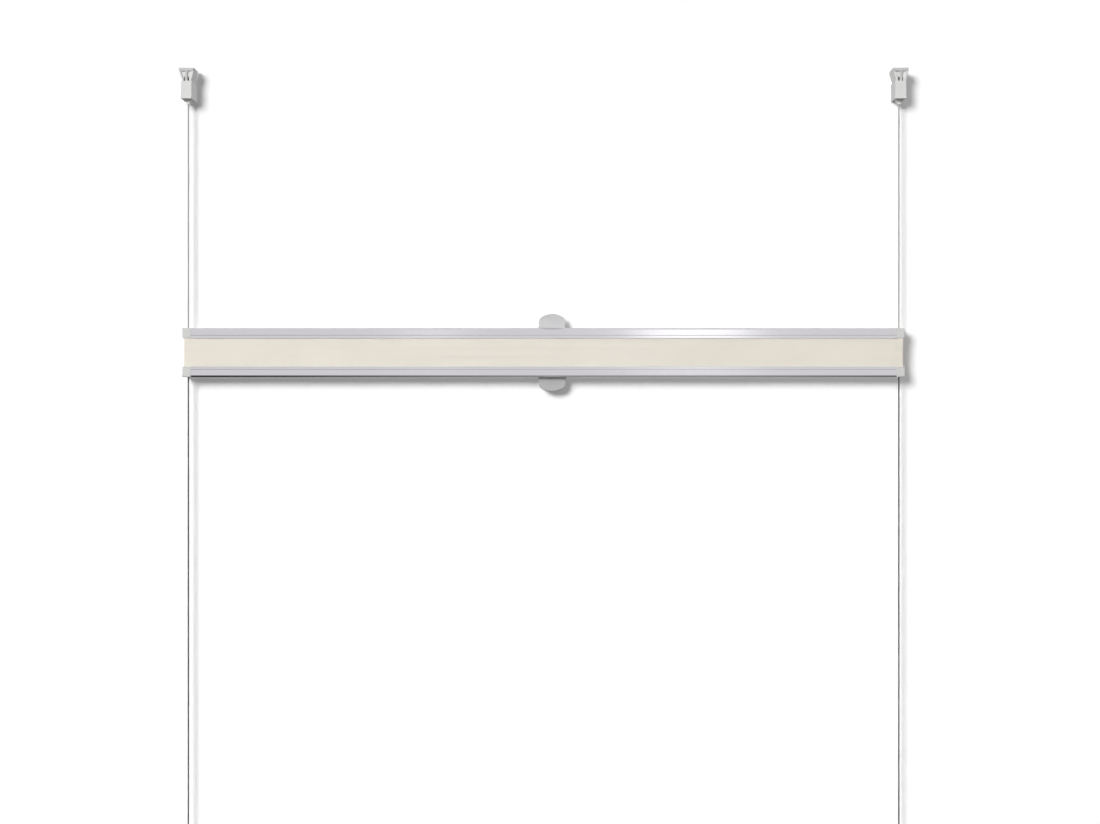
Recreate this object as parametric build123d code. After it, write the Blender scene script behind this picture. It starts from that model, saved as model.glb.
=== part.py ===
from build123d import *
import os

# Pleated blind with two movable rails on two tensioned cords, in millimetres.
# The wall is the plane y = 0 and the front looks towards -Y, with +Z up.
# The origin is on the wall, midway between the screw holes of the two upper brackets.

# Layout of the whole blind
blind_width = 800.0  # a rail with its two end caps
cord_inset = 4.5  # end of a rail to its cord
upper_drop = 249.0  # free cord between the upper brackets and the top rail
lower_drop = 508.0  # free cord between the bottom rail and the lower brackets
pack_height = 31.4  # folded fabric between the rails
rail_wall_gap = 2.0  # back of a rail to the wall

# Cords
cord_diameter = 1.6
cord_clearance = 0.35  # around a cord in a bore that slides along it

# Rail extrusion
rail_depth = 22.0
rail_height = 11.5
rail_wall = 1.2
rail_web = 1.0
rail_lip = 1.2
fabric_groove_height = 2.6
fabric_groove_mouth = 16.0
handle_slot_width = 6.0
bevel_depth = 3.0  # bevel along the outer edges of the front and the back
bevel_height = 1.8
line_height = 3.2  # fine groove along the front and the back, from the fabric side
line_width = 0.6
line_depth = 0.16
rail_edge_radius = 0.2

# End caps
cap_length = 9.0
cap_corner_radius = 1.2
cap_edge_chamfer = 0.6
cap_plug_length = 10.0
cap_plug_clearance = 0.15
cap_bore_flare = 0.8  # countersink of the cord's bore at the outer side

# Strip that holds the end of the fabric in a rail
strip_flange = 1.3
strip_clearance = 0.3

# Pull handles
handle_offset = 9.5  # to the right of the middle
handle_width = 30.0
handle_reach = 16.0
handle_thickness = 3.6
handle_top_radius = 21.0
handle_corner_radius = 8.0
handle_edge_chamfer = 0.9
handle_dish_radius = 22.0
handle_dish_depth = 0.7
handle_shoe_overhang = 1.0
handle_shoe_depth = 9.0
handle_shoe_height = 0.9
handle_foot_length = 26.0
handle_foot_depth = 8.4
handle_foot_height = 1.6
handle_clearance = 0.2

# Pleated fabric
fabric_inset = 1.9  # end of a rail to the edge of the fabric
fabric_thickness = 0.3
pleat_depth = 20.0
sloped_faces = 48  # an even number, between the two glued end flaps
fabric_hole_clearance = 0.5
fabric_hole_sides = 6  # flats of each punched hole

# Bracket base and housing
bracket_plate = 2.5
bracket_body_width = 12.2
bracket_body_height = 19.4
bracket_wall = 1.5
bracket_edge_radius = 0.5
screw_hole_radius = 1.7
cheek_thickness = 1.0
cheek_reach = 9.0
cheek_height = 10.0
cheek_clearance = 0.15

# Flared fork on top of the housing
fork_root_width = 10.0
fork_tip_width = 16.6
fork_flare_height = 11.0
fork_height = 14.6
fork_ear = 2.2
fork_web = 1.5  # also the walls over and behind the window
fork_web_recess = 1.5
fork_window_width = 5.4
fork_window_height = 4.8

# T shaped key that the end of a cord is fixed in
key_bar_width = 17.0
key_bar_height = 3.7
key_bar_depth = 5.2
key_bar_proud = 0.4
key_bar_edge_radius = 1.2
key_stem_width = 2.6
key_stem_setback = 0.2  # front of the stem behind the front of the housing
key_tail_drop = 5.0
key_tail_behind = 2.0
key_socket_depth = 3.0
key_clearance = 0.15

# Funnel that guides a cord out of the housing
guide_length = 5.1
guide_collar_height = 2.6
guide_collar_depth = 6.0
guide_tip_half = 1.7
guide_clearance = 0.1
guide_waist_width_share = 0.24
guide_waist_height_share = 0.55

# Cuts run past the faces that they open by this much
overrun = 1.0

# Places in the frame
cord_radius = cord_diameter / 2
cord_bore_radius = cord_radius + cord_clearance
cord_x = blind_width / 2 - cord_inset
cord_y = -(rail_wall_gap + rail_depth / 2)
bracket_depth = rail_wall_gap + rail_depth
body_top_z = bracket_body_height / 2
guide_tip_z = -(body_top_z + guide_length)
top_rail_outer_z = guide_tip_z - upper_drop
pack_top_z = top_rail_outer_z - rail_height
pack_middle_z = pack_top_z - pack_height / 2
lower_guide_tip_z = pack_top_z - pack_height - rail_height - lower_drop
bracket_middle_z = (guide_tip_z + lower_guide_tip_z) / 2
cord_top_z = body_top_z - key_tail_drop + key_socket_depth

# Heights inside a rail, counted from its fabric side
groove_top = rail_lip + fabric_groove_height
chamber_floor = groove_top + rail_web
bevel_edge = rail_height - bevel_height
chamber_top = bevel_edge - rail_wall
chamber_half = rail_depth / 2 - rail_wall
profile_length = blind_width - 2 * cap_length
run_height = (chamber_floor + chamber_top) / 2
run_offset = cord_diameter + cord_clearance

SIDES = {"left": -1, "right": 1}


def span_box(x_span, y_span, z_span):
    """A block between the two given values along each axis."""
    low, high = zip(x_span, y_span, z_span)
    size = [b - a for a, b in zip(low, high)]
    middle = [(a + b) / 2 for a, b in zip(low, high)]
    return Pos(*middle) * Box(*size)


def section_plane(x):
    """A plane across the rails, with the depth to its right and the height up."""
    return Plane(origin=(x, cord_y, pack_top_z), x_dir=(0, 1, 0), z_dir=(1, 0, 0))


def front_plane(x, y, z):
    """A plane that faces the front, with X to its right and Z up."""
    return Plane(origin=(x, y, z), x_dir=(1, 0, 0), z_dir=(0, -1, 0))


def mirrored_section(points):
    """A face from the right half of an outline and its mirror image."""
    right = make_face(Polyline(*points, close=True))
    return right + mirror(right, about=Plane.YZ)


def rail_profile():
    """The extrusion: fabric groove below, cord chamber above, open slot along its outer side."""
    half = rail_depth / 2
    mouth = fabric_groove_mouth / 2
    outer_half = half - bevel_depth
    slot = handle_slot_width / 2
    outer_lip = rail_height - rail_lip
    outline = [
        (0, groove_top),
        (chamber_half, groove_top),
        (chamber_half, rail_lip),
        (mouth, rail_lip),
        (mouth, 0),
        (half, 0),
        (half, line_height - line_width / 2),
        (half - line_depth, line_height),
        (half, line_height + line_width / 2),
        (half, bevel_edge),
        (outer_half, rail_height),
        (slot, rail_height),
        (slot, outer_lip),
        (outer_half - rail_wall, outer_lip),
        (outer_half - rail_wall, chamber_top),
        (chamber_half, chamber_top),
        (chamber_half, chamber_floor),
        (0, chamber_floor),
    ]
    right = make_face(Polyline(*outline, close=True))
    outer_corners = right.vertices().group_by(Axis.X)[-1].sort_by(Axis.Y)
    right = fillet([outer_corners[0], outer_corners[-1]], rail_edge_radius)
    section = right + mirror(right, about=Plane.YZ)
    return extrude(section_plane(-profile_length / 2) * section, amount=profile_length)


def fabric_strip():
    """A T shaped strip that slides into the fabric groove and carries the fabric's end flap."""
    flange = chamber_half - strip_clearance
    rib = fabric_groove_mouth / 2 - strip_clearance
    top = rail_lip + strip_flange
    outline = [(0, 0), (rib, 0), (rib, rail_lip), (flange, rail_lip), (flange, top), (0, top)]
    plane = section_plane(-profile_length / 2)
    return extrude(plane * mirrored_section(outline), amount=profile_length)


def cord_run(face):
    """The cord across a rail, which passes its two ends in front (-1) or behind (1) the upright cords."""
    length = 2 * (cord_x + cord_radius)
    place = Pos(0, cord_y + face * run_offset, pack_top_z + run_height)
    return place * Rot(0, 90, 0) * Cylinder(cord_radius, length)


def end_cap(side):
    """A moulded cap with a plug for the cord chamber, a bore for its cord and a channel for the runs."""
    inner_x = side * profile_length / 2
    middle_z = pack_top_z + rail_height / 2
    plane = Plane(origin=(inner_x, cord_y, middle_z), x_dir=(0, 1, 0), z_dir=(side, 0, 0))
    block = extrude(plane * RectangleRounded(rail_depth, rail_height, cap_corner_radius), amount=cap_length)
    end_face = block.faces().sort_by(Axis.X)[-1 if side > 0 else 0]
    block = chamfer(end_face.edges(), cap_edge_chamfer)
    plug_half = chamber_half - cap_plug_clearance
    plug = span_box(
        sorted((inner_x, inner_x - side * cap_plug_length)),
        (cord_y - plug_half, cord_y + plug_half),
        (pack_top_z + chamber_floor + cap_plug_clearance, pack_top_z + chamber_top - cap_plug_clearance),
    )
    cap = block + plug - Pos(side * cord_x, cord_y, middle_z) * Cylinder(cord_bore_radius, rail_height)
    flare = Cone(cord_bore_radius, cord_bore_radius + cap_bore_flare, cap_bore_flare)
    flare_z = top_rail_outer_z - cap_bore_flare / 2
    cap -= Pos(side * cord_x, cord_y, flare_z) * flare
    channel_half = run_offset + cord_bore_radius
    run_z = pack_top_z + run_height
    cap -= span_box(
        sorted((side * (cord_x + channel_half), inner_x - side * (cap_plug_length + overrun))),
        (cord_y - channel_half, cord_y + channel_half),
        (run_z - cord_bore_radius, run_z + cord_bore_radius),
    )
    return cap


def handle():
    """A dished pull tab on a shoe, with a foot that slides under the lips of the rail's slot."""
    base_z = top_rail_outer_z + handle_clearance
    half = handle_width / 2
    arch_rise = handle_top_radius - (handle_top_radius**2 - half**2) ** 0.5
    spring = handle_reach - arch_rise
    sides = Polyline((-half, spring), (-half, 0), (half, 0), (half, spring))
    arch = ThreePointArc((half, spring), (0, handle_reach), (-half, spring))
    outline = make_face([sides, arch])
    outline = fillet(outline.vertices().group_by(Axis.Y)[-1], handle_corner_radius)
    plane = front_plane(handle_offset, cord_y, base_z)
    tab = extrude(plane * outline, amount=handle_thickness / 2, both=True)
    rims = tab.faces().filter_by(Axis.Y).edges().filter_by(lambda edge: edge.center().Z > base_z + overrun)
    tab = chamfer(rims, handle_edge_chamfer)
    dish_y = cord_y - handle_thickness / 2 - handle_dish_radius + handle_dish_depth
    dish = Rot(0, 90, 0) * Cylinder(handle_dish_radius, handle_width + overrun)
    tab -= Pos(handle_offset, dish_y, base_z + handle_reach / 2) * dish
    shoe_half = half + handle_shoe_overhang
    foot_half = handle_foot_length / 2
    neck_half = handle_slot_width / 2 - handle_clearance
    foot_top = top_rail_outer_z - rail_lip - handle_clearance
    shoe = span_box(
        (handle_offset - shoe_half, handle_offset + shoe_half),
        (cord_y - handle_shoe_depth / 2, cord_y + handle_shoe_depth / 2),
        (base_z, base_z + handle_shoe_height),
    )
    shoe = chamfer(shoe.edges().filter_by(Axis.Z), handle_edge_chamfer)
    neck = span_box(
        (handle_offset - foot_half, handle_offset + foot_half),
        (cord_y - neck_half, cord_y + neck_half),
        (foot_top, base_z),
    )
    foot = span_box(
        (handle_offset - foot_half, handle_offset + foot_half),
        (cord_y - handle_foot_depth / 2, cord_y + handle_foot_depth / 2),
        (foot_top - handle_foot_height, foot_top),
    )
    return tab + shoe + neck + foot


def pleated_fabric():
    """One sheet folded to and fro between two flat end flaps, with holes for the cords."""
    half_sheet = fabric_thickness / 2
    step = (pack_height - fabric_thickness) / sloped_faces
    nip = half_sheet * pleat_depth / step  # how far the two faces of a fold lie on each other
    front = -pleat_depth / 2
    back = pleat_depth / 2
    levels = [-half_sheet - fold * step for fold in range(sloped_faces + 1)]
    top = levels[0]
    bottom = levels[-1]
    front_side = []
    back_side = []
    for fold, level in enumerate(levels):
        tip = [level + half_sheet, level - half_sheet]
        if fold % 2 == 0:
            front_side += [(front, z) for z in tip]
            back_side += [(front + nip, level)]
        else:
            front_side += [(back - nip, level)]
            back_side += [(back, z) for z in tip]
    back_side[0] = (front + 2 * nip, top - half_sheet)
    back_side[-1] = (front + 2 * nip, bottom + half_sheet)
    top_flap_end = [(back, top - half_sheet), (back, top + half_sheet)]
    bottom_flap_end = [(back, bottom - half_sheet), (back, bottom + half_sheet)]
    outline = top_flap_end + front_side + bottom_flap_end + back_side[::-1]
    fabric_width = blind_width - 2 * fabric_inset
    plane = section_plane(-fabric_width / 2)
    sheet = extrude(plane * make_face(Polyline(*outline, close=True)), amount=fabric_width)
    punch = RegularPolygon(cord_radius + fabric_hole_clearance, fabric_hole_sides, major_radius=False)
    for side in SIDES.values():
        sheet -= extrude(Pos(side * cord_x, cord_y, pack_middle_z) * punch, amount=pack_height, both=True)
    return sheet


def bracket_base():
    """The plate that is screwed to the wall, with two cheeks that the housing is pushed over."""
    half = bracket_body_width / 2
    plate = span_box((-half, half), (-bracket_plate, 0), (-body_top_z, body_top_z))
    plate -= Rot(90, 0, 0) * Cylinder(screw_hole_radius, 2 * (bracket_plate + overrun))
    outer = half - bracket_wall - cheek_clearance
    for side in SIDES.values():
        plate += span_box(
            sorted((side * outer, side * (outer - cheek_thickness))),
            (-bracket_plate - cheek_reach, -bracket_plate),
            (-cheek_height / 2, cheek_height / 2),
        )
    return plate


def tail_depths():
    """Front and back of the key's tail, which goes down behind the front wall of the housing."""
    return -bracket_depth + bracket_wall + key_clearance, cord_y + key_tail_behind


def fork():
    """Two flared ears and a web, with a closed pocket behind its window and a notch for the bar of the key."""
    root = fork_root_width / 2
    tip = fork_tip_width / 2
    flare_z = body_top_z + fork_flare_height
    top_z = body_top_z + fork_height
    outer = [(root, body_top_z), (tip, flare_z), (tip, top_z)]
    inner = [(x - fork_ear, z) for x, z in outer]
    ear = mirrored_section(outer + inner[::-1])
    web = make_face(Polyline(*inner, *[(-x, z) for x, z in inner[::-1]], close=True))
    ears = extrude(front_plane(0, -bracket_plate, 0) * ear, amount=bracket_depth - bracket_plate)
    web_front = -bracket_depth + fork_web_recess
    wall = extrude(front_plane(0, web_front + fork_web, 0) * web, amount=fork_web)
    roof_z = body_top_z + fork_window_height + fork_web
    wall += span_box(
        (-root, root),
        (web_front, -bracket_plate),
        (body_top_z, roof_z),
    )
    window = span_box(
        (-fork_window_width / 2, fork_window_width / 2),
        (web_front - overrun, -bracket_plate - fork_web),
        (body_top_z, body_top_z + fork_window_height),
    )
    notch = span_box(
        (-tip - overrun, tip + overrun),
        (-bracket_depth - overrun, -bracket_depth + key_bar_depth + key_clearance),
        (flare_z, top_z + overrun),
    )
    return ears + wall - window - notch


def bracket_housing():
    """A hollow body, open at its back and underside, with the fork on top."""
    half = bracket_body_width / 2
    body = span_box((-half, half), (-bracket_depth, -bracket_plate), (-body_top_z, body_top_z))
    body = fillet(body.edges().filter_by(Axis.Z).sort_by(Axis.Y)[:2], bracket_edge_radius)
    body -= span_box(
        (-half + bracket_wall, half - bracket_wall),
        (-bracket_depth + bracket_wall, -bracket_plate + overrun),
        (-body_top_z - overrun, body_top_z - bracket_wall),
    )
    tail_front, tail_back = tail_depths()
    slot_half = key_stem_width / 2 + key_clearance
    slot = span_box(
        (-slot_half, slot_half),
        (tail_front - key_clearance, tail_back + key_clearance),
        (body_top_z - bracket_wall - overrun, body_top_z + overrun),
    )
    return body + fork() - slot


def cord_key():
    """A T whose stem bends through the fork's window to a tail, with a socket for the end of the cord."""
    tail_front, tail_back = tail_depths()
    bar_low = body_top_z + fork_flare_height
    bar_half = key_bar_width / 2
    stem = (-key_stem_width / 2, key_stem_width / 2)
    bar = span_box(
        (-bar_half, bar_half),
        (-bracket_depth - key_bar_proud, -bracket_depth + key_bar_depth),
        (bar_low, bar_low + key_bar_height),
    )
    bar_face = bar.faces().sort_by(Axis.Y)[0]
    bar = fillet(bar_face.edges().sort_by(Axis.Z)[1:], key_bar_edge_radius)
    stem_front = -bracket_depth + key_stem_setback
    stem_back = -bracket_depth + fork_web_recess - key_clearance
    upright = span_box(stem, (stem_front, stem_back), (body_top_z, bar_low))
    bridge_high = body_top_z + fork_window_height - key_clearance
    bridge = span_box(stem, (stem_front, tail_back), (body_top_z, bridge_high))
    tail_low = body_top_z - key_tail_drop
    tail = span_box(stem, (tail_front, tail_back), (tail_low, body_top_z))
    socket_z = tail_low + key_socket_depth / 2
    return bar + upright + bridge + tail - Pos(0, cord_y, socket_z) * Cylinder(cord_radius, key_socket_depth)


def funnel_outline(collar_half):
    """A collar with a concave taper below it, down to the tip of the cord guide."""
    waist = guide_tip_half + guide_waist_width_share * (collar_half - guide_tip_half)
    top_z = -body_top_z + guide_collar_height
    waist_z = -body_top_z - guide_waist_height_share * guide_length
    side_line = [(guide_tip_half, guide_tip_z), (waist, waist_z), (collar_half, -body_top_z), (collar_half, top_z)]
    return make_face(Polyline(*side_line, *[(-x, z) for x, z in side_line[::-1]], close=True))


def cord_guide():
    """A funnel under the housing, with a collar that sits between the housing's side walls."""
    half_width = bracket_body_width / 2 - bracket_wall - guide_clearance
    half_depth = guide_collar_depth / 2
    side_plane = Plane(origin=(0, cord_y, 0), x_dir=(0, 1, 0), z_dir=(1, 0, 0))
    seen_from_front = extrude(front_plane(0, cord_y, 0) * funnel_outline(half_width), amount=half_depth, both=True)
    seen_from_side = extrude(side_plane * funnel_outline(half_depth), amount=half_width, both=True)
    length = guide_collar_height + guide_length
    bore = Pos(0, cord_y, guide_tip_z + length / 2) * Cylinder(cord_bore_radius, length)
    return (seen_from_front & seen_from_side) - bore


def tension_cord(side):
    """A straight cord between the keys of an upper and a lower bracket."""
    length = 2 * (cord_top_z - bracket_middle_z)
    return Pos(side * cord_x, cord_y, bracket_middle_z) * Cylinder(cord_radius, length)


def turned(piece, middle_z):
    """The piece turned over about the depth axis through the given height."""
    return Pos(0, 0, 2 * middle_z) * Rot(0, 180, 0) * piece


def rail_nodes():
    """Every piece of the two rails. The bottom rail is the top rail turned over."""
    pieces = {
        "rail_profile": rail_profile(),
        "fabric_strip": fabric_strip(),
        "front_cord_run": cord_run(-1),
        "rear_cord_run": cord_run(1),
    }
    nodes = {}
    for name, piece in pieces.items():
        nodes[f"top_{name}"] = piece
        nodes[f"bottom_{name}"] = turned(piece, pack_middle_z)
    for side_name, side in SIDES.items():
        nodes[f"top_{side_name}_end_cap"] = end_cap(side)
        nodes[f"bottom_{side_name}_end_cap"] = turned(end_cap(-side), pack_middle_z)
    tab = handle()
    nodes["top_handle"] = tab
    nodes["bottom_handle"] = Pos(2 * handle_offset, 0, 0) * turned(tab, pack_middle_z)
    return nodes


def bracket_nodes():
    """The four brackets. The lower ones are the upper ones turned over."""
    pieces = {
        "bracket_base": bracket_base(),
        "bracket_housing": bracket_housing(),
        "cord_key": cord_key(),
        "cord_guide": cord_guide(),
    }
    nodes = {}
    for side_name, side in SIDES.items():
        for name, piece in pieces.items():
            nodes[f"upper_{side_name}_{name}"] = Pos(side * cord_x, 0, 0) * piece
            nodes[f"lower_{side_name}_{name}"] = turned(Pos(-side * cord_x, 0, 0) * piece, bracket_middle_z)
    return nodes


def soft_nodes():
    """The fabric and the two cords that carry the blind."""
    nodes = {"pleated_fabric": pleated_fabric()}
    for side_name, side in SIDES.items():
        nodes[f"{side_name}_tension_cord"] = tension_cord(side)
    return nodes


os.makedirs("parts", exist_ok=True)
for name, piece in {**rail_nodes(), **bracket_nodes(), **soft_nodes()}.items():
    export_step(piece, f"parts/{name}.step")
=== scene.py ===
"""Looks of a pleated blind with two movable rails on taut cords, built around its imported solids.

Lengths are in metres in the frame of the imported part: the wall is the plane y = 0, the front
looks towards -Y and +Z is up.
"""

from __future__ import annotations

import logging
import math
from dataclasses import dataclass, field
from enum import Enum

import bmesh
import bpy
from mathutils import Matrix, Vector

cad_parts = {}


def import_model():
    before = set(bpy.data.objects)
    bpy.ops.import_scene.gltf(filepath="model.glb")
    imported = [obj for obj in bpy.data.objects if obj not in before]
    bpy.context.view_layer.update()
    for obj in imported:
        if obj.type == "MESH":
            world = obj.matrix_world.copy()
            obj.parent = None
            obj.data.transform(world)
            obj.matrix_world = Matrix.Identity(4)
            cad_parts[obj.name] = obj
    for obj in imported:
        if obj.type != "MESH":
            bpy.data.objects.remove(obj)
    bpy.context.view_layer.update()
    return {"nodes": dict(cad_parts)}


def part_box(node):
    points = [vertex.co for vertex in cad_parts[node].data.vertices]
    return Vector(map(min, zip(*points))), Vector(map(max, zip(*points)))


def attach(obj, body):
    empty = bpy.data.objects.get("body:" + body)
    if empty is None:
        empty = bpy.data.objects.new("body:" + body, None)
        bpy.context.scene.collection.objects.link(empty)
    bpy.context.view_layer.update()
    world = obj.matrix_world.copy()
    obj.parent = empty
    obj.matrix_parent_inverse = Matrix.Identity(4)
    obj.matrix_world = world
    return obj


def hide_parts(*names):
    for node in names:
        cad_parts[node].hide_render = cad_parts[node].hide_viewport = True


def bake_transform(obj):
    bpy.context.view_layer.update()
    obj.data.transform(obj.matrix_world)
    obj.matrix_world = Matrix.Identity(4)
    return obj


LOG = logging.getLogger("pleated_blind")
MM = 0.001
WHITE = "#FFFFFF"
PATTERN_MIDDLE = {"From Min": 0.3, "From Max": 0.7}  # where most values of a pattern lie

Tree = bpy.types.NodeTree
Node = bpy.types.Node
Socket = bpy.types.NodeSocket
Piece = bpy.types.Object
Shape = bmesh.types.BMesh


class Rail(Enum):
    """The two movable rails, named as their solids are."""

    TOP = "top"
    BOTTOM = "bottom"


class Level(Enum):
    """The two ends of the cords, named as the brackets there are."""

    UPPER = "upper"
    LOWER = "lower"


class Side(Enum):
    """The two sides of the blind, seen from the front."""

    LEFT = "left"
    RIGHT = "right"


def linear(code: str) -> tuple[float, float, float, float]:
    """Turn an sRGB hex code into a linear colour.

    Args:
        code: Colour as "#RRGGBB".

    Returns:
        Red, green, blue and an alpha of one.
    """
    parts = [int(code[i : i + 2], 16) / 255 for i in (1, 3, 5)]
    red, green, blue = (
        p / 12.92 if p <= 0.04045 else ((p + 0.055) / 1.055) ** 2.4 for p in parts
    )
    return red, green, blue, 1.0


def add_node(tree: Tree, kind: str, inputs: dict | None = None, **settings: object) -> Node:
    """Add a shader node, set it up and feed its inputs.

    Args:
        tree: Node tree of a material, a lamp or the world.
        kind: Node type without its "ShaderNode" prefix.
        inputs: Value, or output socket to link, for each input by name or number.
        settings: Attributes of the node.

    Returns:
        The new node.
    """
    node = tree.nodes.new("ShaderNode" + kind)
    for name, value in settings.items():
        setattr(node, name, value)
    for key, value in (inputs or {}).items():
        if isinstance(value, Socket):
            tree.links.new(value, node.inputs[key])
        else:
            node.inputs[key].default_value = value
    return node


def band_scale(pitch: float) -> float:
    """Scale of a wave texture whose bands are this far apart."""
    return math.pi / (10 * pitch)


@dataclass(frozen=True)
class Finish:
    """A surface finish: what the material is, its two tones and how rough it was made."""

    name: str
    colour: str
    roughness: float
    shade: str

    def material(self) -> bpy.types.Material:
        """Build the finish, or find it if it is there already.

        Returns:
            The material.
        """
        made = bpy.data.materials.get(self.name)
        if made is None:
            made = bpy.data.materials.new(self.name)
            made.use_nodes = True
            tree = made.node_tree
            tree.nodes.clear()
            shader = add_node(
                tree,
                "BsdfPrincipled",
                {"Base Color": linear(self.colour), "Roughness": self.roughness},
            )
            add_node(tree, "OutputMaterial", {"Surface": shader.outputs["BSDF"]})
            self.detail(tree, shader)
        return made

    def detail(self, tree: Tree, shader: Node) -> None:
        """Add what the eye sees of this finish to its shader."""
        raise NotImplementedError

    def dress(self, piece: Piece) -> None:
        """Give the piece this finish and no other."""
        piece.data.materials.clear()
        piece.data.materials.append(self.material())

    def grain(self, tree: Tree, size: tuple[float, float, float], octaves: float) -> Socket:
        """Add a noise pattern of a real size.

        Args:
            tree: Node tree of the finish.
            size: Length of one cell along X, Y and Z.
            octaves: Levels of finer noise.

        Returns:
            The pattern's value, around one half.
        """
        place = add_node(tree, "TexCoord").outputs["Object"]
        scale = [1 / s for s in size]
        sized = add_node(tree, "Mapping", {"Vector": place, "Scale": scale})
        noise = add_node(
            tree,
            "TexNoise",
            {"Vector": sized.outputs["Vector"], "Scale": 1.0, "Detail": octaves},
        )
        return noise.outputs["Fac"]

    def tint(self, tree: Tree, pattern: Socket, low: str, high: str) -> Socket:
        """Vary a colour between two tones by a pattern.

        Args:
            tree: Node tree of the finish.
            pattern: The pattern's value, around one half.
            low: Tone where the pattern is low.
            high: Tone where it is high.

        Returns:
            The colour.
        """
        share = add_node(tree, "MapRange", {"Value": pattern, **PATTERN_MIDDLE})
        mixed = add_node(
            tree,
            "Mix",
            {"Factor": share.outputs["Result"], "A": linear(low), "B": linear(high)},
            data_type="RGBA",
        )
        return mixed.outputs["Result"]

    def vary_gloss(
        self, tree: Tree, shader: Node, pattern: Socket, below: float, above: float
    ) -> None:
        """Let a pattern vary the roughness.

        Args:
            tree: Node tree of the finish.
            shader: Shader of the finish.
            pattern: The pattern's value, around one half.
            below: How far the roughness falls where the pattern is low.
            above: How far it rises where the pattern is high.
        """
        low, high = self.roughness - below, self.roughness + above
        varied = add_node(
            tree,
            "MapRange",
            {"Value": pattern, **PATTERN_MIDDLE, "To Min": low, "To Max": high},
        )
        tree.links.new(varied.outputs["Result"], shader.inputs["Roughness"])

    def emboss(self, tree: Tree, shader: Node, pattern: Socket, depth: float, share: float) -> None:
        """Let a pattern raise the surface.

        Args:
            tree: Node tree of the finish.
            shader: Shader of the finish.
            pattern: Height of the surface, from zero to one.
            depth: Depth of the relief.
            share: How much of it is seen.
        """
        bump = add_node(tree, "Bump", {"Height": pattern, "Distance": depth, "Strength": share})
        tree.links.new(bump.outputs["Normal"], shader.inputs["Normal"])


@dataclass(frozen=True)
class AnodisedAluminium(Finish):
    """Extruded, etched and anodised: a silky grey metal with faint die lines along its length."""

    line_length: float = 140 * MM
    line_width: float = 0.5 * MM
    line_depth: float = 0.01 * MM
    line_relief: float = 0.1
    gloss_change: float = 0.02

    def detail(self, tree: Tree, shader: Node) -> None:
        """Add the die lines to the metal's colour, gloss and relief.

        Args:
            tree: Node tree of the finish.
            shader: Shader of the finish.
        """
        lines = self.grain(tree, (self.line_length, self.line_width, self.line_width), 2.0)
        shader.inputs["Metallic"].default_value = 1.0
        self.vary_gloss(tree, shader, lines, self.gloss_change, self.gloss_change)
        tree.links.new(self.tint(tree, lines, self.shade, self.colour), shader.inputs["Base Color"])
        self.emboss(tree, shader, lines, self.line_depth, self.line_relief)


@dataclass(frozen=True)
class MouldedPlastic(Finish):
    """Plastic from a spark eroded mould or die: an even, fine and slightly glossy grain."""

    grain_size: float = 0.35 * MM
    grain_depth: float = 0.03 * MM
    grain_relief: float = 0.5
    flow_size: float = 14 * MM
    gloss_below: float = 0.06
    gloss_above: float = 0.08
    refraction: float = 1.53

    def detail(self, tree: Tree, shader: Node) -> None:
        """Add the mould's grain, and the slow change of tone that the melt leaves.

        Args:
            tree: Node tree of the finish.
            shader: Shader of the finish.
        """
        grain = self.grain(tree, (self.grain_size,) * 3, 2.0)
        flow = self.grain(tree, (self.flow_size,) * 3, 1.0)
        shader.inputs["IOR"].default_value = self.refraction
        self.vary_gloss(tree, shader, grain, self.gloss_below, self.gloss_above)
        tree.links.new(self.tint(tree, flow, self.shade, self.colour), shader.inputs["Base Color"])
        self.emboss(tree, shader, grain, self.grain_depth, self.grain_relief)


@dataclass(frozen=True)
class BraidedPolyester(Finish):
    """Braided polyester cord: fine strands that cross in a slanted pattern with a silky sheen.

    It is paler above the blind and darker below it. The change of tone lies behind the cloth.
    """

    upper_colour: str
    upper_shade: str
    change_low: float = -297 * MM
    change_high: float = -283 * MM
    strand_pitch: float = 2.2 * MM
    strand_slant: float = math.radians(35)
    strand_depth: float = 0.1 * MM
    strand_relief: float = 0.6
    sheen: float = 0.2

    def detail(self, tree: Tree, shader: Node) -> None:
        """Add the crossing strands and the paler length above the blind to the cord's colour and
        relief.

        Args:
            tree: Node tree of the finish.
            shader: Shader of the finish.
        """
        place = add_node(tree, "TexCoord").outputs["Object"]
        strands = []
        for slant in (self.strand_slant, -self.strand_slant):
            turn = {"Vector": place, "Rotation": (0.0, slant, 0.0)}
            turned = add_node(tree, "Mapping", turn).outputs["Vector"]
            wave = add_node(
                tree,
                "TexWave",
                {"Vector": turned, "Scale": band_scale(self.strand_pitch)},
                bands_direction="Z",
            )
            strands.append(wave.outputs["Fac"])
        crossed = add_node(tree, "Math", dict(enumerate(strands)), operation="MAXIMUM").outputs[0]
        height = add_node(
            tree,
            "MapRange",
            {
                "Value": add_node(tree, "SeparateXYZ", {0: place}).outputs["Z"],
                "From Min": self.change_low,
                "From Max": self.change_high,
            },
        )
        shaded = add_node(
            tree,
            "Mix",
            {
                "Factor": height.outputs["Result"],
                "A": self.tint(tree, crossed, self.shade, self.colour),
                "B": self.tint(tree, crossed, self.upper_shade, self.upper_colour),
            },
            data_type="RGBA",
        )
        shader.inputs["Sheen Weight"].default_value = self.sheen
        tree.links.new(shaded.outputs["Result"], shader.inputs["Base Color"])
        self.emboss(tree, shader, crossed, self.strand_depth, self.strand_relief)


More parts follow.
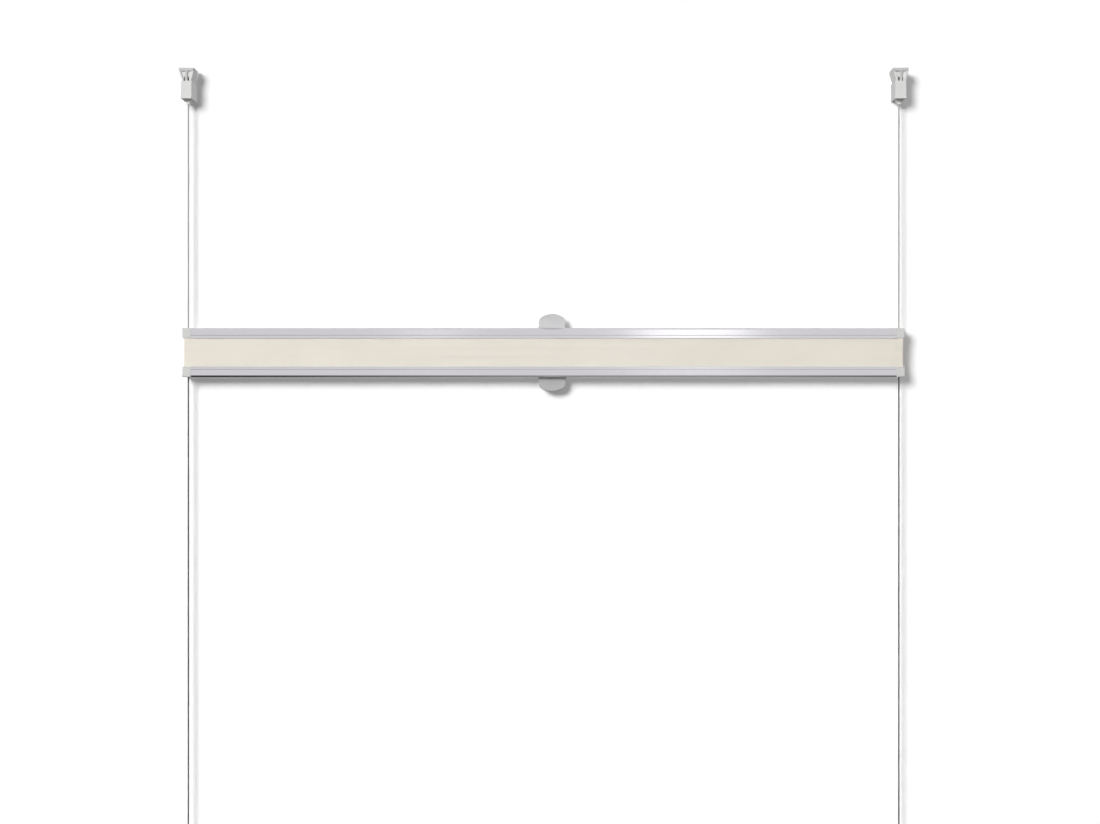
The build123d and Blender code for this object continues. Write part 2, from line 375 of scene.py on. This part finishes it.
@dataclass(frozen=True)
class WovenPolyester(Finish):
    """Woven polyester with pressed pleats: matt cream cloth with a fine grid of uneven threads.

    The pleats travel along Z alone, so a thread keeps its X and Y at every opening of the blind,
    and the weave reads those two.
    """

    thread_pitch: float = 1.6 * MM  # four times the real pitch, which is too fine to show
    thread_waver: float = 0.4
    thread_depth: float = 0.06 * MM
    thread_relief: float = 0.5
    slub_length: float = 60 * MM
    slub_width: float = 2.4 * MM
    sheen: float = 0.25
    sheen_roughness: float = 0.6
    gloss: float = 0.2

    def detail(self, tree: Tree, shader: Node) -> None:
        """Add the grid of threads and the slubs to the cloth's colour and relief.

        Args:
            tree: Node tree of the finish.
            shader: Shader of the finish.
        """
        place = add_node(tree, "TexCoord").outputs["Object"]
        scale = band_scale(self.thread_pitch)
        threads = []
        for axis in ("X", "Y"):
            wave = add_node(
                tree,
                "TexWave",
                {"Vector": place, "Scale": scale, "Distortion": self.thread_waver},
                bands_direction=axis,
            )
            threads.append(wave.outputs["Fac"])
        grid = add_node(tree, "Math", dict(enumerate(threads)), operation="MULTIPLY").outputs[0]
        slub = self.grain(tree, (self.slub_length, self.slub_width, self.slub_length), 2.0)
        shader.inputs["Sheen Weight"].default_value = self.sheen
        shader.inputs["Sheen Roughness"].default_value = self.sheen_roughness
        shader.inputs["Specular IOR Level"].default_value = self.gloss
        tree.links.new(self.tint(tree, slub, self.shade, self.colour), shader.inputs["Base Color"])
        self.emboss(tree, shader, grid, self.thread_depth, self.thread_relief)


class Finishes:
    """The finishes of the blind."""

    # Satin silver, with a soft streak of white where a light stands across from it.
    RAIL = AnodisedAluminium("anodised_aluminium_silver", "#DEDCE0", 0.14, "#DAD8DC")
    # Dull white that only shows inside the groove.
    STRIP = MouldedPlastic("extruded_pvc_white", "#DADAD6", 0.5, "#D2D2CE")
    # A warmer, duller grey than the metal beside it.
    CAP = MouldedPlastic("moulded_abs_pearl_grey", "#D1D1CF", 0.46, "#CECECC")
    # Close to the rail's own grey, without its streak.
    TOP_HANDLE = MouldedPlastic("moulded_abs_silver_grey", "#CACACB", 0.42, "#C7C7C8")
    # Darker than its twin, which is the same moulded part: painted shade for the rail's shadow on
    # it.
    BOTTOM_HANDLE_PAINTED_SHADE = MouldedPlastic("moulded_abs_grey_painted_shade", "#B3B2B2", 0.42, "#B0AFAF")
    # Pale and slightly glossy, so that its front and its sides part clearly.
    BRACKET = MouldedPlastic("moulded_abs_light_grey", "#DBDBDA", 0.45, "#D8D8D7")
    # A tone darker, so that the key stands out in the fork.
    KEY = MouldedPlastic("moulded_abs_mid_grey", "#C6C6C5", 0.45, "#C1C1C0")
    # Waxy white, the palest of the plastics.
    GUIDE = MouldedPlastic("moulded_acetal_white", "#ECECEA", 0.38, "#E6E6E4")
    # A thin dark line below the blind and a pale one above it.
    CORD = BraidedPolyester(
        "braided_polyester_grey", "#4A4A49", 0.6, "#343433", "#B0B0AF", "#969695"
    )
    # Cream, matt and even.
    CLOTH = WovenPolyester("woven_polyester_cream", "#F7F2E8", 0.86, "#F4EFE4")


def new_piece(name: str, shape: Shape) -> Piece:
    """Make an object at the origin from a bmesh, which is freed.

    Args:
        name: Name of the piece and its mesh.
        shape: The finished mesh, in place.

    Returns:
        The linked object.
    """
    mesh = bpy.data.meshes.new(name)
    shape.to_mesh(mesh)
    shape.free()
    piece = bpy.data.objects.new(name, mesh)
    bpy.context.scene.collection.objects.link(piece)
    return piece


@dataclass(frozen=True)
class Moulding:
    """How a moulded piece stands in for its solid: its finish, and the edges its mould rounds."""

    finish: Finish
    slot: str
    radius: float
    steps: int = 2
    weld: float = 0.001 * MM
    flat_angle: float = math.radians(0.5)
    sharp_angle: float = math.radians(32)

    def build(self, node: Piece, body: str) -> Piece:
        """Copy a solid, round its sharp edges and dress the copy.

        Args:
            node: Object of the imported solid, which stays as it is.
            body: Body that the piece belongs to.

        Returns:
            The new piece.
        """
        shape = bmesh.new()
        shape.from_mesh(node.data)
        bmesh.ops.remove_doubles(shape, verts=shape.verts, dist=self.weld)
        bmesh.ops.dissolve_limit(
            shape,
            angle_limit=self.flat_angle,
            verts=shape.verts,
            edges=shape.edges,
        )
        sharp = [e for e in shape.edges if e.is_manifold and e.calc_face_angle() > self.sharp_angle]
        bmesh.ops.bevel(
            shape,
            geom=sharp,
            offset=self.radius,
            segments=self.steps,
            profile=0.5,
            affect="EDGES",
            material=-1,
            clamp_overlap=True,
        )
        for face in shape.faces:
            face.smooth = True
        piece = new_piece(f"{node.name}_moulding", shape)
        piece.modifiers.new("Even shading", "WEIGHTED_NORMAL")
        self.finish.dress(piece)
        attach(piece, body)
        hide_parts(node.name)
        return piece


@dataclass
class CordBrackets:
    """The four brackets that hold the ends of the cords."""

    edge_radius: float = 0.22 * MM

    def build(self, nodes: dict[str, Piece]) -> list[Piece]:
        """Round and dress every piece of the brackets.

        Args:
            nodes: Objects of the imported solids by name.

        Returns:
            The new pieces.
        """
        looks = {
            "bracket_base": (Finishes.BRACKET, "bracket_plastic"),
            "bracket_housing": (Finishes.BRACKET, "bracket_plastic"),
            "cord_key": (Finishes.KEY, "key_plastic"),
            "cord_guide": (Finishes.GUIDE, "guide_plastic"),
        }
        made = []
        for level in Level:
            for side in Side:
                for kind, (finish, slot) in looks.items():
                    node = nodes[f"{level.value}_{side.value}_{kind}"]
                    made.append(Moulding(finish, slot, self.edge_radius).build(node, "brackets"))
        return made


@dataclass
class RailSet:
    """The two rails with their end caps, handles and the strips that hold the cloth."""

    cap_edge_radius: float = 0.25 * MM
    handle_edge_radius: float = 0.35 * MM

    def build(self, nodes: dict[str, Piece]) -> list[Piece]:
        """Dress the profiles and strips, and round and dress the caps and handles.

        Args:
            nodes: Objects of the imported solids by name.

        Returns:
            The dressed solids and the new pieces.
        """
        # The bottom handle gets the top handle's grey darkened by painted shade from the rail above
        # it.
        tones = {Rail.TOP: Finishes.TOP_HANDLE, Rail.BOTTOM: Finishes.BOTTOM_HANDLE_PAINTED_SHADE}
        cap = Moulding(Finishes.CAP, "cap_plastic", self.cap_edge_radius)
        made = []
        for rail in Rail:
            for kind, finish in (("rail_profile", Finishes.RAIL), ("fabric_strip", Finishes.STRIP)):
                node = nodes[f"{rail.value}_{kind}"]
                finish.dress(node)
                made.append(node)
            for side in Side:
                node = nodes[f"{rail.value}_{side.value}_end_cap"]
                made.append(cap.build(node, f"{rail.value}_rail"))
            tab = nodes[f"{rail.value}_handle"]
            handle = Moulding(tones[rail], "handle_plastic", self.handle_edge_radius)
            made.append(handle.build(tab, tab.name))
        return made


@dataclass
class PleatedFabric:
    """One cloth with pressed pleats, folded to a pack between the rails.

    It is built as two lengths, above and below one crease of the pack, from strips of creases and
    panels.
    """

    panels: int = 48
    still_crease: int = 16
    panel_depth: float = 20 * MM
    crease_radius: float = 0.48 * MM
    crease_steps: int = 6
    cloth_thickness: float = 0.22 * MM
    hole_radius: float = 1.3 * MM
    hole_margin: float = 0.5 * MM
    hole_sides: int = 8  # a square with its corners cut, the only face with so many
    weld: float = 0.002 * MM
    rigid_reach: float = 100.0  # so long that a crease doesn't bend across its height
    half_width: float = field(init=False)
    middle_y: float = field(init=False)
    cord_x: float = field(init=False)
    top_z: float = field(init=False)
    step: float = field(init=False)

    def build(self) -> list[Piece]:
        """Returns:
            The two pieces.
        """
        self._measure()
        above = self.still_crease + 1
        below = self.panels - self.still_crease + 1
        made = []
        for name, strips, faces, rail in (
            ("pleated_cloth_upper", self._upper(), above, Rail.TOP),
            ("pleated_cloth_lower", self._lower(), below, Rail.BOTTOM),
        ):
            piece = self._joined(name, strips)
            Finishes.CLOTH.dress(piece)
            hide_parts("pleated_fabric")
            made.append(piece)
        return made

    def _measure(self) -> None:
        """Take the cloth's places from the solids of the pack and a cord."""
        low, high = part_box("pleated_fabric")
        cord_low, cord_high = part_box("right_tension_cord")
        outer = self.crease_radius + self.cloth_thickness / 2
        self.half_width = (high.x - low.x) / 2
        self.middle_y = (low.y + high.y) / 2
        self.cord_x = (cord_low.x + cord_high.x) / 2
        self.top_z = high.z - outer
        self.step = (high.z - low.z - 2 * outer) / self.panels

    def _upper(self) -> list[Piece]:
        """Make the length next to the top rail, from its flap to the still crease.

        Returns:
            Its strips from the top.
        """
        strips = self._panel(-1, 0.0, 0.0)
        for crease in range(self.still_crease + 1):
            share, next_share = crease / self.still_crease, (crease + 1) / self.still_crease
            strips.append(self._crease(crease))
            if crease < self.still_crease:
                strips += self._panel(crease, share, next_share)
        return strips

    def _lower(self) -> list[Piece]:
        """Make the length next to the bottom rail, from the still crease to its flap.

        Returns:
            Its strips from the top.
        """
        rest = self.panels - self.still_crease
        strips = self._panel(self.still_crease, 0.0, 1 / rest)
        for number in range(1, rest + 1):
            crease = self.still_crease + number
            share, next_share = number / rest, (number + 1) / rest
            strips.append(self._crease(crease))
            if crease < self.panels:
                strips += self._panel(crease, share, next_share)
        return strips + self._panel(self.panels, 1.0, 1.0)

    def _level(self, crease: int) -> float:
        """Height of a crease in the folded pack."""
        return self.top_z - crease * self.step

    def _crease_y(self, crease: int) -> float:
        """Depth of a crease's centre: even creases are in front and odd ones behind."""
        reach = self.panel_depth / 2 - self.crease_radius - self.cloth_thickness / 2
        return self.middle_y + (reach if crease % 2 else -reach)

    def _row(self, y: float, z: float) -> Shape:
        """Start a mesh with a row of edges across the blind, parted beside the cord holes.

        Args:
            y: Depth of the row.
            z: Height of the row.

        Returns:
            The new mesh.
        """
        half = self.hole_radius + self.hole_margin
        places = [self.cord_x - half, self.cord_x + half, self.half_width]
        shape = bmesh.new()
        verts = [shape.verts.new((x, y, z)) for x in [-p for p in places[::-1]] + places]
        for first, second in zip(verts, verts[1:]):
            shape.edges.new((first, second))
        return shape

    def _crease(self, crease: int) -> Piece:
        """Make a pressed crease.

        Args:
            crease: Number of the crease from the top.

        Returns:
            The half round strip.
        """
        y, z = self._crease_y(crease), self._level(crease)
        shape = self._row(y, z + self.crease_radius)
        bmesh.ops.spin(
            shape,
            geom=shape.verts[:] + shape.edges[:],
            cent=(0, y, z),
            axis=(1, 0, 0),
            angle=-math.pi if crease % 2 else math.pi,
            steps=self.crease_steps,
        )
        for face in shape.faces:
            face.smooth = True
        strip = new_piece(f"crease_{crease}", shape)
        return self._held(strip)

    def _panel(self, crease: int, share: float, next_share: float) -> list[Piece]:
        """Make the panel that follows a crease, in three flat strips.

        Args:
            crease: Number of the crease above it, or -1 for the flap under the top rail.
            share: Share of the way between the two bodies at its first edge.
            next_share: The same at its second edge.

        Returns:
            Three strips, of which the middle one has the cord holes.
        """
        below = crease + 1
        first = Vector((0, self._crease_y(crease), self._level(crease) - self.crease_radius))
        second = Vector((0, self._crease_y(below), self._level(below) + self.crease_radius))
        if crease < 0:
            first.z = second.z
        if crease == self.panels:
            second.z = first.z
        depth = second.y - first.y
        middle = (first + second) / 2
        half = (self.hole_radius + self.hole_margin) / abs(depth) * (second - first)
        rows = (first, middle - half, middle + half, second)
        strips = []
        for number, (start, end) in enumerate(zip(rows, rows[1:])):
            shape = self._row(start.y, start.z)
            grown = bmesh.ops.extrude_edge_only(shape, edges=shape.edges[:])["geom"]
            verts = [g for g in grown if isinstance(g, bmesh.types.BMVert)]
            bmesh.ops.translate(shape, vec=end - start, verts=verts)
            if number == 1:
                self._punch(shape)
            strip = new_piece(f"panel_{below}_{number}", shape)
            if share == next_share:
                strips.append(self._held(strip))
            else:
                strips.append(self._tilted(strip))
        return strips

    def _punch(self, shape: Shape) -> None:
        """Punch an eight sided hole for each cord into the middle strip of a panel.

        Args:
            shape: Mesh of the strip.
        """
        places = {face: abs(face.calc_center_median().x) for face in shape.faces}
        squares = [f for f, x in places.items() if abs(x - self.cord_x) < self.hole_margin]
        bmesh.ops.inset_individual(shape, faces=squares, thickness=self.hole_margin)
        bmesh.ops.bevel(
            shape,
            geom=[v for f in squares for v in f.verts],
            offset=2 * self.hole_radius / (2 + math.sqrt(2)),
            segments=1,
            profile=0.5,
            affect="VERTICES",
            material=-1,
        )
        holes = [f for f in shape.faces if len(f.verts) == self.hole_sides]
        bmesh.ops.delete(shape, geom=holes, context="FACES_ONLY")

    def _held(self, strip: Piece) -> Piece:
        """Bake a whole strip's place into its mesh.

        Args:
            strip: The strip.

        Returns:
            The strip.
        """
        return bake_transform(strip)

    def _tilted(
        self,
        strip: Piece,
    ) -> Piece:
        """Bake a strip's place into its mesh.

        Args:
            strip: The strip.

        Returns:
            The strip.
        """
        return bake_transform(strip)

    def _joined(self, name: str, strips: list[Piece]) -> Piece:
        """Join strips, whose edges meet, into one cloth with a thickness.

        Args:
            name: Name of the cloth.
            strips: Its strips from the top.

        Returns:
            The cloth.
        """
        piece = strips[0]
        chosen = {"active_object": piece, "object": piece, "selected_editable_objects": strips}
        with bpy.context.temp_override(**chosen):
            bpy.ops.object.join()
        piece.name = piece.data.name = name
        shape = bmesh.new()
        shape.from_mesh(piece.data)
        bmesh.ops.remove_doubles(shape, verts=shape.verts, dist=self.weld)
        bmesh.ops.recalc_face_normals(shape, faces=shape.faces)
        shape.to_mesh(piece.data)
        shape.free()
        cloth = piece.modifiers.new("Cloth thickness", "SOLIDIFY")
        cloth.thickness = self.cloth_thickness
        cloth.offset = 0.0
        return piece


@dataclass
class TautCords:
    """The upright cords between the brackets and the cords across the rails."""

    points: int = 4
    ring_steps: int = 4

    def build(self) -> list[Piece]:
        """Build and dress every cord.

        Returns:
            The cords.
        """
        upright, across = Vector((0, 0, 1)), Vector((1, 0, 0))
        made = [self._cord(f"{side.value}_tension_cord", "brackets", upright) for side in Side]
        for rail in Rail:
            for face in ("front", "rear"):
                node = f"{rail.value}_{face}_cord_run"
                made.append(self._cord(node, f"{rail.value}_rail", across))
        return made

    def _cord(self, node: str, body: str, axis: Vector) -> Piece:
        """Lay a cord along its solid.

        Args:
            node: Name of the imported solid.
            body: Body that the cord belongs to.
            axis: Direction of the cord.

        Returns:
            The cord, as a curve with a round section.
        """
        low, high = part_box(node)
        middle = (low + high) / 2
        length = (high - low).dot(axis)
        diameter = high.y - low.y
        curve = bpy.data.curves.new(f"{node}_braid", "CURVE")
        curve.dimensions = "3D"
        curve.bevel_depth = diameter / 2
        curve.bevel_resolution = self.ring_steps
        curve.use_fill_caps = True
        spline = curve.splines.new("NURBS")
        spline.points.add(self.points - 1)
        first = middle + axis * length / 2
        for number, point in enumerate(spline.points):
            point.co = (*(first - axis * length * number / (self.points - 1)), 1.0)
        spline.order_u = 3
        spline.use_endpoint_u = True
        cord = bpy.data.objects.new(f"{node}_braid", curve)
        bpy.context.scene.collection.objects.link(cord)
        Finishes.CORD.dress(cord)
        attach(cord, body)
        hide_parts(node)
        return cord


@dataclass(frozen=True)
class LightPanel:
    """An upright light panel beside the camera: its middle along X and Z, size and brightness."""

    name: str
    middle: tuple[float, float]
    size: tuple[float, float]
    glow: float


@dataclass
class Studio:
    """A white wall and a pale floor in soft light, and the camera at the photograph's place.

    The photograph's sizes are in its own pixels of 1100 by 824. The shares are of the light that
    makes white paint white. The mirrored room is a light grey above a floor that is dim to the
    metal in the middle and dark at the sides.
    """

    photo_width: int = 1100
    photo_height: int = 824
    vanishing_px: tuple[float, float] = (544.0, 402.0)
    origin_px: tuple[float, float] = (543.6, 89.5)
    pixel_size: float = 1.1065 * MM  # at the front of the blind
    focal_px: float = 1595.0
    sensor_width: float = 36.0
    front_y: float = -24 * MM
    wall_gap: float = 1 * MM
    wall_level: float = 1.05  # just past white, so that no noise shows
    floor_z: float = -1.0
    stage_size: float = 9.0
    key_share: float = 0.75
    key_place: tuple[float, float, float] = (-1.61, -3.2, 0.96)
    key_radius: float = 0.75
    lit_middle: tuple[float, float, float] = (0.0, 0.0, -0.3)
    rear_share: float = 0.4
    rear_ray: tuple[float, float, float] = (-0.4, -0.8, -0.5)
    rear_angle: float = 0.37
    fill_share: float = 0.25
    mirror_share: float = 0.85
    dim_share: float = 0.36
    dark_share: float = 0.0
    dim_middle: float = 0.06  # along X, as the next pair
    dim_reach: tuple[float, float] = (0.04, 0.25)
    dim_heights: tuple[float, float] = (-0.85, -0.55)
    panels: tuple[LightPanel, ...] = (
        LightPanel("bright_panel", (0.33, -0.02), (0.24, 0.43), 0.9),
        LightPanel("faint_panel", (-0.25, -0.02), (0.14, 0.43), 0.25),
    )

    def build(self) -> None:
        """Set up the wall, the floor, the lamps, the world and the camera."""
        bpy.context.scene.view_settings.view_transform = "Standard"
        self._stage()
        self._key()
        self._rear()
        for panel in self.panels:
            self._hang(panel)
        self._world()
        self._camera()

    def _stage(self) -> None:
        """Make the wall and the floor, which only a camera in front of them or above sees."""
        wall_place = (0, self.wall_gap, self.floor_z + self.stage_size / 2)
        for name, turn, place, upright in (
            ("studio_wall", math.pi / 2, wall_place, True),
            ("studio_floor", 0.0, (0, 0, self.floor_z), False),
        ):
            shape = bmesh.new()
            bmesh.ops.create_grid(shape, x_segments=1, y_segments=1, size=self.stage_size / 2)
            matrix = Matrix.Translation(place) @ Matrix.Rotation(turn, 4, "X")
            bmesh.ops.transform(shape, matrix=matrix, verts=shape.verts)
            plane = new_piece(name, shape)
            plane.data.materials.append(self._paint(name, upright))
            plane.visible_diffuse = False
            plane.visible_glossy = False
            plane.visible_transmission = not upright
            plane.visible_shadow = not upright

    def _paint(self, name: str, even: bool) -> bpy.types.Material:
        """Make the matt white paint of a stage piece, which is clear from behind.

        Args:
            name: Name of the stage piece.
            even: Whether the paint evens out the key lamp's light.

        Returns:
            The paint.
        """
        paint = bpy.data.materials.new(f"{name}_paint")
        paint.use_nodes = True
        tree = paint.node_tree
        tree.nodes.clear()
        tone, glow = self._evened(tree) if even else (linear(WHITE), 0.0)
        matt = add_node(tree, "BsdfDiffuse", {"Color": tone})
        lift = add_node(tree, "Emission", {"Color": linear(WHITE), "Strength": glow})
        lit = add_node(tree, "AddShader", {0: matt.outputs["BSDF"], 1: lift.outputs["Emission"]})
        clear = add_node(tree, "BsdfTransparent")
        behind = add_node(tree, "NewGeometry").outputs["Backfacing"]
        mixed = add_node(
            tree,
            "MixShader",
            {0: behind, 1: lit.outputs["Shader"], 2: clear.outputs["BSDF"]},
        )
        add_node(tree, "OutputMaterial", {"Surface": mixed.outputs["Shader"]})
        return paint

    def _evened(self, tree: Tree) -> tuple[Socket, Socket]:
        """Make the wall as bright far from the key lamp as near it.

        Args:
            tree: Node tree of the wall's paint.

        Returns:
            The paint's tone, greyer near the lamp, and its glow, which makes up for the distance.
        """
        place = add_node(tree, "TexCoord").outputs["Object"]
        way = add_node(tree, "VectorMath", {0: place, 1: self.key_place}, operation="DISTANCE")
        middle_way = (Vector(self.lit_middle) - Vector(self.key_place)).length
        key = add_node(
            tree,
            "Math",
            {0: self.key_share * middle_way, 1: way.outputs["Value"]},
            operation="DIVIDE",
        )
        light = add_node(tree, "Math", {0: key.outputs[0], 1: self.fill_share}, operation="ADD")
        levels = {0: self.wall_level, 1: light.outputs[0]}
        tone = add_node(tree, "Math", levels, operation="DIVIDE", use_clamp=True)
        glow = add_node(tree, "Math", levels, operation="SUBTRACT", use_clamp=True)
        return tone.outputs[0], glow.outputs[0]

    def _key(self) -> None:
        """Add a large round lamp at the upper left whose light doesn't fade with the distance."""
        ray = Vector(self.lit_middle) - Vector(self.key_place)
        lamp = bpy.data.lights.new("key_lamp", "POINT")
        lamp.shadow_soft_size = self.key_radius
        lamp.energy = self.key_share * 4 * math.pi**2 / ray.normalized().y
        lamp.use_nodes = True
        tree = lamp.node_tree
        tree.nodes.clear()
        even = add_node(tree, "LightFalloff", {"Strength": 1.0})
        glow = add_node(tree, "Emission", {"Strength": even.outputs["Constant"]})
        add_node(tree, "OutputLight", {"Surface": glow.outputs["Emission"]})
        holder = bpy.data.objects.new("key_lamp", lamp)
        holder.location = self.key_place
        holder.visible_glossy = False
        bpy.context.scene.collection.objects.link(holder)

    def _rear(self) -> None:
        """Add a broad distant lamp behind the blind, for its back."""
        ray = Vector(self.rear_ray).normalized()
        lamp = bpy.data.lights.new("rear_lamp", "SUN")
        lamp.angle = self.rear_angle
        lamp.energy = self.rear_share * math.pi / abs(ray.y)
        holder = bpy.data.objects.new("rear_lamp", lamp)
        holder.rotation_euler = ray.to_track_quat("-Z", "Y").to_euler()
        holder.visible_glossy = False
        bpy.context.scene.collection.objects.link(holder)

    def _hang(self, panel: LightPanel) -> None:
        """Hang a light panel beside the camera, which the rails mirror as a streak.

        Args:
            panel: The panel.
        """
        width, height = panel.size
        lamp = bpy.data.lights.new(panel.name, "AREA")
        lamp.shape = "RECTANGLE"
        lamp.size, lamp.size_y = width, height
        lamp.energy = panel.glow * math.pi * width * height
        holder = bpy.data.objects.new(panel.name, lamp)
        x, z = panel.middle
        holder.location = (x, self._camera_y(), z)
        holder.rotation_euler = (math.pi / 2, 0, 0)
        bpy.context.scene.collection.objects.link(holder)

    def _world(self) -> None:
        """Fill the room with even light, which the camera sees as white and metal as the room."""
        world = bpy.data.worlds.new("studio_room")
        world.use_nodes = True
        tree = world.node_tree
        tree.nodes.clear()
        path = add_node(tree, "LightPath")
        place = add_node(tree, "TexCoord").outputs["Object"]
        direction = add_node(tree, "SeparateXYZ", {0: place})
        offset = {0: direction.outputs["X"], 1: self.dim_middle}
        aside = add_node(tree, "Math", offset, operation="SUBTRACT").outputs[0]
        floor = add_node(
            tree,
            "MapRange",
            {
                "Value": add_node(tree, "Math", {0: aside}, operation="ABSOLUTE").outputs[0],
                "From Min": self.dim_reach[0],
                "From Max": self.dim_reach[1],
                "To Min": self.dim_share,
                "To Max": self.dark_share,
            },
        )
        mirrored = add_node(
            tree,
            "MapRange",
            {
                "Value": direction.outputs["Z"],
                "From Min": self.dim_heights[0],
                "From Max": self.dim_heights[1],
                "To Min": floor.outputs["Result"],
                "To Max": self.mirror_share,
            },
        )
        glossy = add_node(
            tree,
            "Mix",
            {
                "Factor": path.outputs["Is Glossy Ray"],
                "A": self.fill_share,
                "B": mirrored.outputs["Result"],
            },
        )
        seen = add_node(
            tree,
            "Mix",
            {"Factor": path.outputs["Is Camera Ray"], "A": glossy.outputs["Result"], "B": 1.0},
        )
        light = add_node(
            tree,
            "Background",
            {"Color": linear(WHITE), "Strength": seen.outputs["Result"]},
        )
        add_node(tree, "OutputWorld", {"Surface": light.outputs["Background"]})
        bpy.context.scene.world = world

    def _camera_y(self) -> float:
        """Place of the camera in front of the wall."""
        return self.front_y - self.focal_px * self.pixel_size

    def _camera(self) -> None:
        """Stand the camera where the photograph was taken from, square to the wall."""
        vanishing_x, vanishing_y = self.vanishing_px
        origin_x, origin_y = self.origin_px
        lens = bpy.data.cameras.new("photo_camera")
        lens.sensor_width = self.sensor_width
        lens.lens = lens.sensor_width * self.focal_px / self.photo_width
        lens.shift_x = (self.photo_width / 2 - vanishing_x) / self.photo_width
        lens.shift_y = (vanishing_y - self.photo_height / 2) / self.photo_width
        camera = bpy.data.objects.new("photo_camera", lens)
        camera.location = (
            (vanishing_x - origin_x) * self.pixel_size,
            self._camera_y(),
            -(vanishing_y - origin_y) * self.pixel_size,
        )
        camera.rotation_euler = (math.pi / 2, 0, 0)
        bpy.context.scene.collection.objects.link(camera)
        bpy.context.scene.camera = camera


def main() -> None:
    """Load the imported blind, build and dress its pieces and set up the studio."""
    logging.basicConfig(level=logging.INFO, format="%(name)s: %(message)s")
    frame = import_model()
    nodes = frame["nodes"]
    Studio().build()
    pieces = TautCords().build()
    pieces += CordBrackets().build(nodes)
    pieces += RailSet().build(nodes)
    pieces += PleatedFabric().build()
    for piece in pieces:
        LOG.info("%s is in place", piece.name)


if __name__ == "__main__":
    main()
